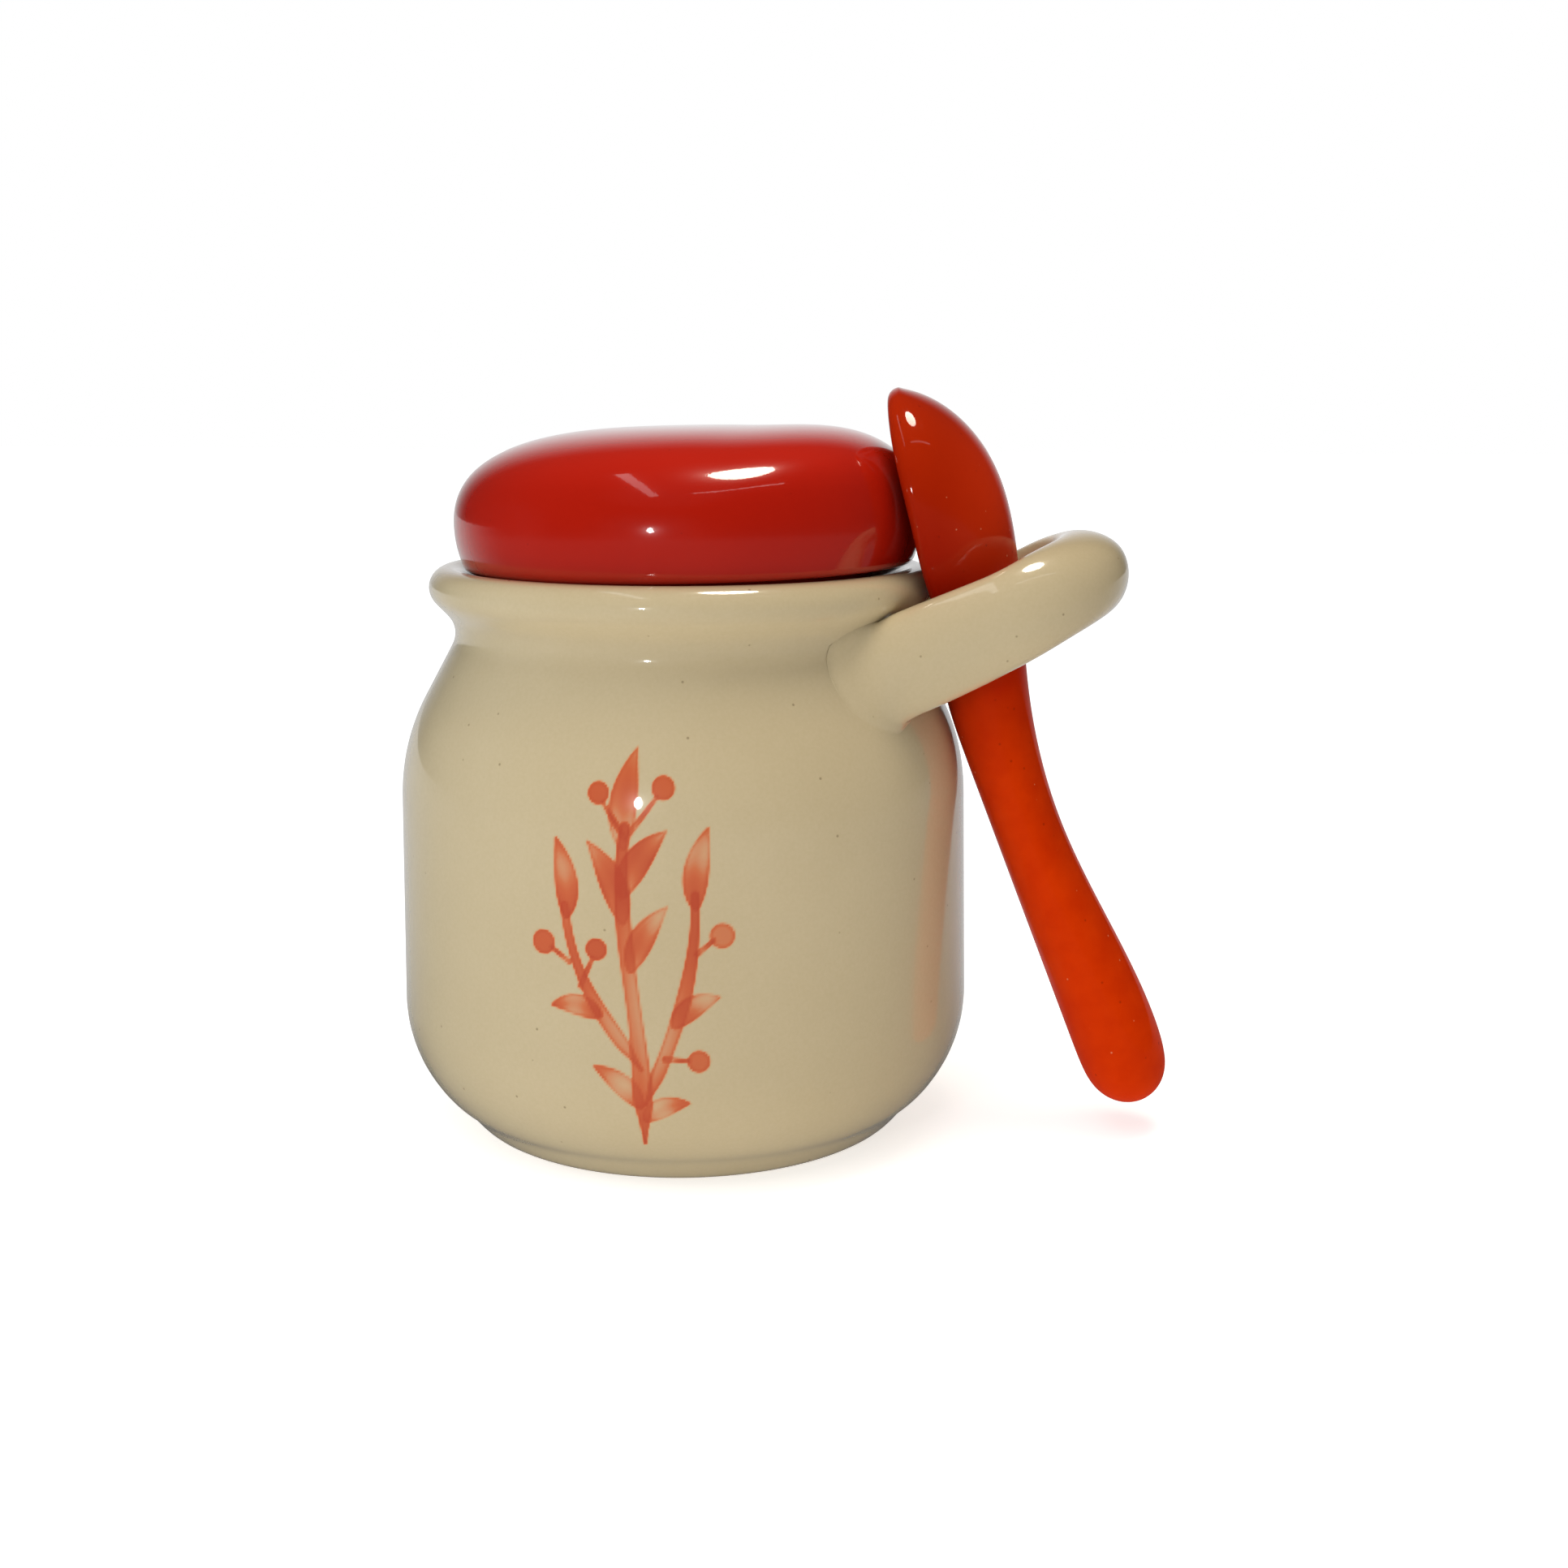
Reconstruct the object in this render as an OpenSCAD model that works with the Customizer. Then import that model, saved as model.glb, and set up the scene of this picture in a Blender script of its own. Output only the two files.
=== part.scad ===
// Jam pot with a loose lid, a spoon, and a strap loop on the neck that holds the spoon.
// Lengths are millimetres. The pot's axis is Z, its foot stands on Z = 0, and the loop points along +X.

/* [Pot] */
// Height from the table to the top of the rim
pot_h = 84; // [76:0.5:100]
// Diameter at the widest part of the belly
belly_d = 85.2; // [78:0.2:96]
// Height of the widest part of the belly
belly_z = 19.5; // [16:0.5:22]
// Radius of the curve under the belly
belly_round = 21; // [20:0.5:25]
// Diameter where the wall starts to turn in
shoulder_d = 84; // [80:0.2:90]
// Radius of the shoulder
shoulder_round = 31.6; // [24:0.2:36]
// Slope of the wall below the neck, in degrees from upright
shoulder_slope = 28; // [24:0.5:32]
// Diameter of the neck at its narrowest
neck_d = 67.3; // [62:0.1:70]
// Depth of the neck's narrowest line below the top of the rim
neck_drop = 9.6; // [9.4:0.1:13]
// Radius of the hollow curve round the neck
neck_round = 4; // [3:0.1:4.4]
// Diameter over the rolled rim
rim_d = 74.6; // [72:0.1:78]
// Radius of the rolled rim
rim_round = 3; // [2.5:0.1:3.4]
// Thickness of the wall
pot_wall = 4; // [3:0.1:5]
// Thickness of the floor
floor_t = 5; // [3.5:0.1:7]
// Diameter of the foot ring
foot_d = 68.6; // [64:0.2:71]
// Height of the foot ring
foot_h = 4.8; // [4.4:0.1:5.6]
// Width of the foot ring
foot_w = 7; // [5:0.1:9]
// Depth of the hollow inside the foot ring
foot_recess = 1.5; // [0.8:0.1:2.5]
// Radius of the foot ring's lower edge
foot_round = 4.2; // [2:0.1:4.4]

/* [Lid] */
// Diameter at the widest part of the lid
lid_d = 67.6; // [66:0.1:71]
// Height of the lid above its seat
lid_h = 20.1; // [16:0.1:24]
// Height of the widest part above the seat
lid_belly = 6.6; // [5:0.1:9]
// Diameter at the lower edge
lid_base_d = 66.6; // [64:0.1:66.8]
// Radius of the lower edge
lid_edge_round = 1.2; // [0.8:0.1:1.6]
// Squareness of the crown's curve, where 2 is an ellipse
lid_crown_power = 2.85; // [2.2:0.05:3.4]
// Thickness of the lid's shell
lid_wall = 4; // [3:0.1:5.5]
// Depth of the locating flange below the seat
flange_h = 5; // [3.5:0.1:6.5]
// Thickness of the locating flange
flange_t = 3.5; // [2.5:0.1:5]
// Play between the flange and the throat, on each side
flange_play = 1.4; // [1:0.1:2.5]
// Gap between the lid's lower edge and the rim that it rests on
seat_gap = 0.35; // [0.3:0.05:0.6]
// How far the lid sits off the pot's axis, towards the loop
lid_shift = 1; // [0:0.1:1]

/* [Loop] */
// Width over the two strands of the strap
loop_w = 40.6; // [38:0.2:46]
// Length from the neck line to the outer end, along the slope
loop_out = 34.2; // [32:0.1:38]
// Slope of the strap above level, in degrees
loop_slope = 26; // [22:0.5:30]
// Depth of the strap's middle below the narrowest line of the neck
loop_drop = 3.1; // [2:0.1:5]
// How far the strap's middle hangs below the straight slope
loop_sag = 1; // [0:0.1:2]
// Thickness of the strap
strap_t = 8.4; // [7:0.1:9.5]
// Height of the strap across its slope, at its roots
strap_h = 14.4; // [12:0.1:16]
// Height of the strap across its slope, at its outer end
strap_end_h = 11.3; // [10:0.1:14]
// Radius of the flare where the strap meets the pot
root_flare = 1.4; // [0.8:0.1:3]

/* [Spoon] */
// Length from the tip of the bowl to the end of the handle
spoon_len = 111; // [100:0.1:122]
// Lean of the bowl towards the lid, in degrees from upright
spoon_lean = 15; // [13:0.5:17]
// Height of the bowl's tip above the top of the rim
spoon_stand = 24.9; // [23:0.1:28]
// Gap kept between the spoon and what it leans on
spoon_gap = 0.4; // [0.3:0.05:1]
// How much wider the bowl is than the opening of the loop
bowl_catch = 6; // [4.5:0.1:7]
// Depth of the bowl's back behind its lip
bowl_back = 14; // [11:0.1:15]
// Distance from the tip to the deepest part of the bowl
bowl_mid = 19.4; // [16:0.1:22]
// Thickness of the bowl's floor
bowl_floor = 4; // [3:0.1:5.5]
// Thickness of the bowl's lip
lip_t = 2.8; // [2:0.1:3.5]
// Distance from the tip to the neck
neck_at = 46; // [44:0.5:50]
// Width of the neck
stem_w = 13; // [10:0.1:14]
// How far the neck stands forward of the bowl's lip
stem_rise = 2; // [1:0.1:4]
// How far the neck's back lies behind the bowl's lip
stem_back = 9.5; // [8:0.1:11]
// Width of the handle near its end
handle_w = 15; // [12:0.1:17]
// Thickness of the handle near its end
handle_t = 12.6; // [10:0.1:14]
// How far the handle's front at its end lies behind the bowl's lip
handle_set = 4.5; // [2:0.1:6]

/* [Hidden] */

// Steps along an arc of the outlines, and round the turned pieces
arc_steps = 14;
$fn = 96;

// Radii of the turned pieces
belly_r = belly_d / 2;
shoulder_r = shoulder_d / 2;
neck_r = neck_d / 2;
rim_r = rim_d / 2;
foot_r = foot_d / 2;
lid_r = lid_d / 2;
lid_base_r = lid_base_d / 2;

// Pot: centres of its arcs, worked down from the rim
rim_c = [rim_r - rim_round, pot_h - rim_round];
neck_z = pot_h - neck_drop;
neck_c = [neck_r + neck_round, neck_z];
slope_top = neck_c - neck_round * [cos(shoulder_slope), sin(shoulder_slope)];
slope_low_r = shoulder_r - shoulder_round * (1 - cos(shoulder_slope));
slope_low = [slope_low_r, slope_top[1] - (slope_low_r - slope_top[0]) / tan(shoulder_slope)];
shoulder_c = slope_low - shoulder_round * [cos(shoulder_slope), sin(shoulder_slope)];
belly_c = [belly_r - belly_round, belly_z];
belly_from = -asin((belly_z - foot_h) / belly_round);
floor_z = foot_recess + floor_t;
floor_from = -asin((belly_z - floor_z) / (belly_round - pot_wall));

// Directions of the two lines that join the neck's arcs to the rim, outside and in the mouth
neck_to_rim = rim_c - neck_c;
neck_rim_far = norm(neck_to_rim);
neck_rim_dir = atan2(neck_to_rim[1], neck_to_rim[0]);
rim_tangent = neck_rim_dir + acos(min(1, (neck_round + rim_round) / neck_rim_far));
mouth_tangent = neck_rim_dir + acos((neck_round + pot_wall - rim_round) / neck_rim_far);
throat_r = neck_r - pot_wall;

// Lid: levels and radii, with its lower edge resting on the inner side of the rolled rim
lid_edge_c_r = lid_base_r - lid_edge_round;
seat_reach = rim_round + lid_edge_round + seat_gap;
lid_edge_z = rim_c[1] + seat_rise(0);
lid_z = lid_edge_z - lid_edge_round;
// Off its middle, the lid rides up on the rim on one side and down on the other
lid_tilt = atan((seat_rise(lid_shift) - seat_rise(-lid_shift)) / (2 * lid_edge_c_r));
flange_r = throat_r - flange_play;
flange_in_r = flange_r - flange_t;
lid_roof = lid_h - lid_wall;

// Loop: its frame starts on the neck line and climbs along the slope
loop_z = neck_z - loop_drop;
strand_y = (loop_w - strap_t) / 2;
loop_in_w = loop_w - 2 * strap_t;
bend_u = loop_out - strap_t / 2 - strand_y;
root_r = slope_top[0] + (slope_top[1] - loop_z) * tan(shoulder_slope);
root_u = (sqrt(root_r * root_r - strand_y * strand_y) - neck_r) / cos(loop_slope);
// The strands start this far behind their roots, inside the wall, and are trimmed by it
strand_sink = strap_t + root_flare;
flare_steps = 6;
// Place of one more section on each strand, between the flare and the bend
leg_mid_share = 0.5;
bend_steps = 20;
strap_sides = 24;
strap_power = 2;

// Spoon: the front of its handle leans a little more than its bowl
bowl_w = loop_in_w + bowl_catch;
handle_end_r = handle_t / 2;
handle_from = spoon_len - handle_end_r;
handle_lean = spoon_lean + atan((stem_rise + handle_set) / (handle_from - neck_at));
tip_z = pot_h + spoon_stand;
// Place of the bowl's tip if the spoon lies against the lid, the rim or the shoulder
lid_lean_x = lid_r + (lid_z + lid_belly - tip_z) * tan(spoon_lean) + spoon_gap / cos(spoon_lean);
// The bowl's two lips pass the rim on both sides of its foremost point
lip_y = bowl_w / 2 - lip_t;
rim_lip_x = sqrt(pow(rim_c[0], 2) - pow(lip_y, 2));
rim_lean_x = rim_lip_x + (rim_c[1] - tip_z) * tan(spoon_lean) + (rim_round + spoon_gap) / cos(spoon_lean);
stem_z = tip_z - neck_at * cos(spoon_lean) - stem_rise * sin(spoon_lean);
stem_lean_x = shoulder_c[0]
    + (shoulder_round + spoon_gap - (stem_z - shoulder_c[1]) * sin(handle_lean)) / cos(handle_lean)
    - neck_at * sin(spoon_lean) + stem_rise * cos(spoon_lean);
tip_x = max(lid_lean_x, rim_lean_x, stem_lean_x);
// Where the bowl's rim starts to rise into the neck, and where its widest line is
rim_rise_from_share = 0.56;
bowl_wide_share = 1.2;
hollow_end_share = 0.8;
stem_thin_share = 1.2;
stem_thick_share = 1.3;
// Smallest half opening of the hollow, as a share of the bowl's half width
hollow_least_share = 0.12;
spoon_rings = 42;
half_steps = 9;
lip_steps = 4;

// Height of the lid's lower edge above the middle of the rim, where the lid is moved outwards by s
function seat_rise(s) = sqrt(pow(seat_reach, 2) - pow(rim_c[0] - lid_edge_c_r - s, 2));
function arc(c, r, from, to, n = arc_steps) =
    [for (i = [0:n]) let (t = from + (to - from) * i / n) c + r * [cos(t), sin(t)]];
function ease(x) = let (t = min(1, max(0, x))) t * t * (3 - 2 * t);
function mix(a, b, t) = a + (b - a) * t;
function reversed(list) = [for (i = [len(list) - 1:-1:0]) list[i]];
function signed_pow(x, p) = sign(x) * pow(abs(x), p);
// A quarter ellipse that rises from 0 at x = 0 to 1 at x = 1
function dome(x) = let (t = min(1, max(0, x))) sqrt(1 - (1 - t) * (1 - t));

// Outer outline of the pot, from the foot's edge up to the top of the rim
function pot_outside() = concat(
    arc([foot_r - foot_round, foot_round], foot_round, -90, 0),
    [[foot_r, foot_h]],
    arc(belly_c, belly_round, belly_from, 0),
    arc(shoulder_c, shoulder_round, 0, shoulder_slope),
    arc(neck_c, neck_round, 180 + shoulder_slope, rim_tangent),
    arc(rim_c, rim_round, rim_tangent - 180, 90));

// Inner outline, from the top of the rim down to the middle of the floor
function pot_inside() = concat(
    arc(rim_c, rim_round, 90, mouth_tangent),
    arc(neck_c, neck_round + pot_wall, mouth_tangent, 180 + shoulder_slope),
    arc(shoulder_c, shoulder_round - pot_wall, shoulder_slope, 0),
    arc(belly_c, belly_round - pot_wall, 0, floor_from),
    [[0, floor_z]]);

function foot_hollow() = [
    [0, foot_recess],
    [foot_r - foot_w, foot_recess],
    [foot_r - foot_w, 0]];

// Quarter of a rounded square with the lid's crown curve, from the side up to the middle
function crown(c, r, h) =
    [for (i = [0:2 * arc_steps]) let (t = 45 * i / arc_steps)
        c + [r * pow(cos(t), 2 / lid_crown_power), h * pow(sin(t), 2 / lid_crown_power)]];

// Point of the spoon, from its distance below the tip, its side offset and its height before the lip
function spoon_point(w, y, n) = [
    tip_x + w * sin(spoon_lean) - n * cos(spoon_lean),
    y,
    tip_z - w * cos(spoon_lean) - n * sin(spoon_lean)];

// Outlines of the spoon along its length: half width, back, front and depth of the hollow
function spoon_half_w(w) =
    let (wide = bowl_mid * bowl_wide_share,
         bowl = bowl_w / 2 * dome(w / wide),
         stem = mix(stem_w / 2, handle_w / 2, ease((w - neck_at) / (handle_from - neck_at))),
         end = w < handle_from ? 1 : dome((spoon_len - w) / handle_end_r))
    mix(bowl, stem, ease((w - wide) / (neck_at - wide))) * end;
function spoon_back(w) =
    let (thin = neck_at * stem_thin_share, thick = neck_at * stem_thick_share)
    w < bowl_mid ? bowl_back * dome(w / bowl_mid)
    : w < thin ? mix(bowl_back, stem_back, ease((w - bowl_mid) / (thin - bowl_mid)))
    : mix(stem_back, handle_set + handle_t, ease((w - thick) / (handle_from - thick)));
function spoon_front(w) =
    mix(stem_rise, -handle_set, (w - neck_at) / (handle_from - neck_at));
function hollow_deep(w) =
    let (deep = bowl_back - bowl_floor - lip_t / 2, end = neck_at * hollow_end_share)
    deep * (w < bowl_mid ? dome((w - lip_t) / (bowl_mid - lip_t))
        : 1 - ease((w - bowl_mid) / (end - bowl_mid)));

// Half a cross-section of the bowl and of the handle: back, edge and front, as side offset and height
function bowl_half(w) =
    let (a = spoon_half_w(w), open = max(a - lip_t, a * hollow_least_share), lip = (a - open) / 2)
    concat(
        [for (i = [0:half_steps]) let (t = 90 * i / half_steps)
            [a * sin(t), -lip - max(0, spoon_back(w) - lip) * cos(t)]],
        [for (i = [1:lip_steps]) let (t = 180 * i / lip_steps)
            [a - lip + lip * cos(t), lip * sin(t) - lip]],
        [for (i = [1:half_steps]) let (t = 90 * i / half_steps)
            [open * cos(t), -lip - hollow_deep(w) * sin(t)]]);
function handle_half(w) =
    let (a = spoon_half_w(w),
         mid = (spoon_front(w) - spoon_back(w)) / 2,
         end = w < handle_from ? 1 : dome((spoon_len - w) / handle_end_r),
         deep = (spoon_front(w) + spoon_back(w)) / 2 * end,
         front_steps = lip_steps + half_steps)
    concat(
        [for (i = [0:half_steps]) let (t = 90 * i / half_steps) [a * sin(t), mid - deep * cos(t)]],
        [for (i = [1:front_steps]) let (t = 90 * i / front_steps) [a * cos(t), mid + deep * sin(t)]]);
function spoon_half(w) =
    let (from = neck_at * rim_rise_from_share, t = ease((w - from) / (neck_at - from)))
    mix(bowl_half(w), handle_half(w), t);
function spoon_ring(w) =
    let (half = spoon_half(w), n = len(half))
    concat(
        [for (p = half) spoon_point(w, p[0], p[1])],
        [for (i = [n - 2:-1:1]) spoon_point(w, -half[i][0], half[i][1])]);

// Closed skin over rings of equal length, with a point at each end
function skin_faces(rings, sides, last) = concat(
    [for (j = [0:sides - 1]) [0, 1 + (j + 1) % sides, 1 + j]],
    [for (i = [0:rings - 2], j = [0:sides - 1])
        let (a = 1 + i * sides + j, b = 1 + i * sides + (j + 1) % sides) each
            [[a, b, b + sides], [a, b + sides, a + sides]]],
    [for (j = [0:sides - 1])
        let (a = 1 + (rings - 1) * sides)
            [last, a + j, a + (j + 1) % sides]]);
module skin(first, rings, last) {
    sides = len(rings[0]);
    points = concat([first], [for (r = rings) each r], [last]);
    polyhedron(points, skin_faces(len(rings), sides, len(points) - 1));
}

// The strap: points of its middle line with their directions, in the plane of the loop
function flare(d) =
    let (t = min(1, max(0, 1 - d / root_flare))) root_flare * (1 - sqrt(1 - t * t));
leg_u = concat(
    [root_u - strand_sink],
    [for (i = [0:flare_steps]) root_u + root_flare * i / flare_steps],
    [mix(root_u + root_flare, bend_u, leg_mid_share)]);
strap_line = concat(
    [for (u = leg_u) [u, -strand_y, 0]],
    [for (i = [0:bend_steps]) let (t = 180 * i / bend_steps)
        [bend_u + strand_y * sin(t), -strand_y * cos(t), t]],
    [for (i = [len(leg_u) - 1:-1:0]) [leg_u[i], strand_y, 180]]);
function loop_point(u, y, a) = [
    neck_r + u * cos(loop_slope) - a * sin(loop_slope),
    y,
    loop_z + u * sin(loop_slope) + a * cos(loop_slope)];
function strap_sag(u) = loop_sag * sin(180 * min(1, max(0, u / loop_out)));
function strap_ring(p) =
    let (grow = flare(p[0] - root_u),
         sag = strap_sag(p[0]),
         tall = mix(strap_h, strap_end_h, ease((p[0] - root_u) / (loop_out - root_u))))
    [for (k = [0:strap_sides - 1])
        let (t = 360 * k / strap_sides,
             out = (strap_t / 2 + grow) * signed_pow(cos(t), 2 / strap_power),
             up = (tall / 2 + grow) * signed_pow(sin(t), 2 / strap_power))
        loop_point(p[0] + out * sin(p[2]), p[1] - out * cos(p[2]), up - sag)];

module pot_solid() {
    rotate_extrude() polygon(concat([[0, 0]], pot_outside(), [[0, pot_h]]));
}

module pot_body() {
    color("#cbbd98")
        rotate_extrude() polygon(concat(pot_outside(), pot_inside(), foot_hollow()));
}

module spoon_loop() {
    line_ends = [strap_line[0], strap_line[len(strap_line) - 1]];
    color("#c6b791")
        difference() {
            skin(loop_point(line_ends[0][0], line_ends[0][1], 0),
                [for (p = strap_line) strap_ring(p)],
                loop_point(line_ends[1][0], line_ends[1][1], 0));
            pot_solid();
        }
}

module lid() {
    side_rise = lid_belly - lid_edge_round;
    side_in = lid_r - lid_base_r;
    // Radius of the arc that joins the lower edge to the widest line
    side_round = (side_in * side_in + side_rise * side_rise) / (2 * side_in);
    side_turn = asin(side_rise / side_round);
    color("#b4231b")
        translate([lid_shift, 0, lid_edge_z])
        rotate([0, -lid_tilt, 0])
        translate([0, 0, -lid_edge_z])
        rotate_extrude() polygon(concat(
            [[flange_in_r, lid_z - flange_h], [flange_r, lid_z - flange_h], [flange_r, lid_z]],
            arc([lid_edge_c_r, lid_z + lid_edge_round], lid_edge_round, -90, 0),
            arc([lid_r - side_round, lid_z + lid_belly], side_round, -side_turn, 0),
            crown([0, lid_z + lid_belly], lid_r, lid_h - lid_belly),
            reversed(crown([0, lid_z], flange_in_r, lid_roof))));
}

module spoon() {
    // Rings lie closer together towards both ends
    color("#cc3a12")
        skin(spoon_point(0, 0, 0),
            [for (i = [1:spoon_rings]) let (t = 180 * i / (spoon_rings + 1))
                spoon_ring(spoon_len * (1 - cos(t)) / 2)],
            spoon_point(spoon_len, 0, (spoon_front(spoon_len) - spoon_back(spoon_len)) / 2));
}

pot_body();
spoon_loop();
lid();
spoon();
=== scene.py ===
import math

import bpy
import numpy as np
from mathutils import Matrix, Vector


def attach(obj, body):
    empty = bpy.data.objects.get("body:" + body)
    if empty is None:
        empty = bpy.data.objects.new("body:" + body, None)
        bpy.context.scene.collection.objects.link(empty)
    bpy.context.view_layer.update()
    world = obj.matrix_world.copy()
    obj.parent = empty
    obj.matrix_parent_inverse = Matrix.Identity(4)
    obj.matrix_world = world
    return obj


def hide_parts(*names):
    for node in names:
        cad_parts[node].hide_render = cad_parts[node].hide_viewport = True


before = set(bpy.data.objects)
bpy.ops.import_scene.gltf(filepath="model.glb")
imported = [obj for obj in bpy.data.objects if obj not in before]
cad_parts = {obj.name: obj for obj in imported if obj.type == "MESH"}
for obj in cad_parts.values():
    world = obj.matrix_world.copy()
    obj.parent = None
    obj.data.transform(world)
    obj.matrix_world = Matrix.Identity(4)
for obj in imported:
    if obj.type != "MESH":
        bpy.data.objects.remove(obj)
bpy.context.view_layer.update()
mm = 0.001
print("frame loaded:", sorted(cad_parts))


def metres(*lengths):
    return [length * mm for length in lengths]


def toLinear(hexColour):
    parts = [int(hexColour[i:i + 2], 16) / 255 for i in (0, 2, 4)]
    return tuple(c / 12.92 if c <= 0.04045 else ((c + 0.055) / 1.055) ** 2.4 for c in parts) + (1.0,)


# adds a node; an input value that is a socket becomes a link, anything else is set on the socket
def addNode(tree, kind, inputs=None, **settings):
    node = tree.nodes.new(kind)
    for key, value in settings.items():
        setattr(node, key, value)
    for key, value in (inputs or {}).items():
        if isinstance(value, bpy.types.NodeSocket):
            tree.links.new(value, node.inputs[key])
        else:
            node.inputs[key].default_value = value
    return node


# clouds of the given size, in millimetres
def addNoise(tree, place, size, detail):
    inputs = {"Vector": place, "Scale": 1 / (size * mm), "Detail": detail}
    return addNode(tree, "ShaderNodeTexNoise", inputs).outputs["Fac"]


def addRange(tree, value, span=(0.0, 1.0), result=(0.0, 1.0), smooth=False):
    inputs = {"Value": value, "From Min": span[0], "From Max": span[1],
              "To Min": result[0], "To Max": result[1]}
    kind = "SMOOTHSTEP" if smooth else "LINEAR"
    return addNode(tree, "ShaderNodeMapRange", inputs, interpolation_type=kind).outputs["Result"]


# round spots set in space about so many millimetres apart, so that a surface passes through few of them;
# each fades out over the given parts of that distance
def addSpots(tree, place, apart, fade, depth):
    cells = addNode(tree, "ShaderNodeTexVoronoi", {"Vector": place, "Scale": 1 / (apart * mm)})
    return addRange(tree, cells.outputs["Distance"], fade, (depth, 0.0))


# a colour is a hex text or a socket
def mixColours(tree, share, first, second):
    first, second = [toLinear(c) if isinstance(c, str) else c for c in (first, second)]
    return addNode(tree, "ShaderNodeMix", {0: share, 6: first, 7: second}, data_type="RGBA").outputs[2]


def mixNumbers(tree, share, first, second):
    return addNode(tree, "ShaderNodeMix", {0: share, 2: first, 3: second}).outputs[0]


def addMaths(tree, operation, *values):
    return addNode(tree, "ShaderNodeMath", dict(enumerate(values)), operation=operation).outputs[0]


def addVectorMaths(tree, operation, output, *values):
    return addNode(tree, "ShaderNodeVectorMath", dict(enumerate(values)), operation=operation).outputs[output]


# depth in millimetres; Normal may name a bump that lies under this one
def addBump(tree, height, strength, depth, **under):
    inputs = {"Height": height, "Strength": strength, "Distance": depth * mm, **under}
    return addNode(tree, "ShaderNodeBump", inputs).outputs["Normal"]


def newMaterial(name):
    material = bpy.data.materials.new(name)
    material.use_nodes = True
    material.node_tree.nodes.clear()
    return material, material.node_tree


def addSurface(tree, look):
    shader = addNode(tree, "ShaderNodeBsdfPrincipled", look)
    addNode(tree, "ShaderNodeOutputMaterial", {"Surface": shader.outputs["BSDF"]})


# mesh object from millimetre points, smooth shaded, riding on its body in place of its CAD solids
def addPiece(name, points, faces, body, nodes, materials, faceMaterial=None):
    mesh = bpy.data.meshes.new(name)
    mesh.from_pydata([tuple(p) for p in np.asarray(points) * mm], [], faces)
    mesh.validate()
    for material in materials:
        mesh.materials.append(material)
    if faceMaterial is not None:
        mesh.polygons.foreach_set("material_index", np.asarray(faceMaterial, dtype=np.int32))
    mesh.polygons.foreach_set("use_smooth", np.ones(len(mesh.polygons), dtype=bool))
    mesh.update()
    piece = bpy.data.objects.new(name, mesh)
    bpy.context.scene.collection.objects.link(piece)
    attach(piece, body)
    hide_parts(*nodes)
    print("made", name, "with", len(mesh.polygons), "faces")
    return piece


def ease(x):
    t = np.clip(x, 0, 1)
    return t * t * (3 - 2 * t)


# eased rise from 0 at start to 1 one length further on
def ramp(x, start, length):
    return ease((x - start) / length)


# quarter ellipse that rises from 0 at 0 to 1 at 1
def dome(x):
    t = np.clip(x, 0, 1)
    return np.sqrt(1 - (1 - t) ** 2)


def arcPoints(centre, radius, start, end, spacing=0.2):
    count = max(2, int(abs(math.radians(end - start)) * radius / spacing))
    turn = np.radians(np.linspace(start, end, count + 1))
    return np.c_[centre[0] + radius * np.cos(turn), centre[1] + radius * np.sin(turn)]


# an outline at even small steps, with its corners rounded the way melted glaze rounds them
def glazeSoft(outline, softness, step=0.1):
    lengths = np.r_[0, np.cumsum(np.hypot(*np.diff(outline, axis=0).T))]
    even = np.linspace(0, lengths[-1], int(lengths[-1] / step) + 1)
    line = np.c_[np.interp(even, lengths, outline[:, 0]), np.interp(even, lengths, outline[:, 1])]
    half = int(softness / step * 3)
    weights = np.exp(-0.5 * (np.arange(-half, half + 1) * step / softness) ** 2)
    weights /= weights.sum()
    soft = line.copy()
    for axis in (0, 1):
        ends = np.r_[2 * line[0, axis] - line[half:0:-1, axis], line[:, axis],
                     2 * line[-1, axis] - line[-2:-half - 2:-1, axis]]
        soft[:, axis] = np.convolve(ends, weights, "valid")
    soft[0], soft[-1] = line[0], line[-1]
    soft[:, 0] = np.maximum(soft[:, 0], 0)
    return soft


# picks points of a fine outline so that neighbours lie as far apart as spacing(point) says
def thinOut(outline, spacing):
    kept, since = [0], 0.0
    for i in range(1, len(outline)):
        since += math.dist(outline[i], outline[i - 1])
        if since >= spacing(outline[i]):
            kept.append(i)
            since = 0.0
    kept[-1] = len(outline) - 1
    return outline[kept]


# smooth curve that leans toward a row of control points, as a cubic spline does
def softCurve(controls, count):
    controls, curve = np.asarray(controls), []
    for t in np.linspace(0, len(controls) - 3, count):
        i = min(int(t), len(controls) - 4)
        f = t - i
        weights = np.array([(1 - f) ** 3, 3 * f ** 3 - 6 * f * f + 4,
                            -3 * f ** 3 + 3 * f * f + 3 * f + 1, f ** 3]) / 6
        curve.append(np.tensordot(weights, controls[i:i + 4], 1))
    return curve


# closed skin over rings of equal length with a point at each end
def ringMesh(rings, firstPoint, lastPoint):
    rings = np.asarray(rings)
    rows, count = rings.shape[:2]
    points = np.r_[rings.reshape(-1, 3), [firstPoint, lastPoint]]
    first, last = rows * count, rows * count + 1
    end = (rows - 1) * count
    faces = []
    for i in range(0, end, count):
        for j in range(count):
            k = (j + 1) % count
            faces.append((i + j, i + count + j, i + count + k, i + k))
    for j in range(count):
        k = (j + 1) % count
        faces.append((first, j, k))
        faces.append((last, end + k, end + j))
    return points, faces


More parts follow.
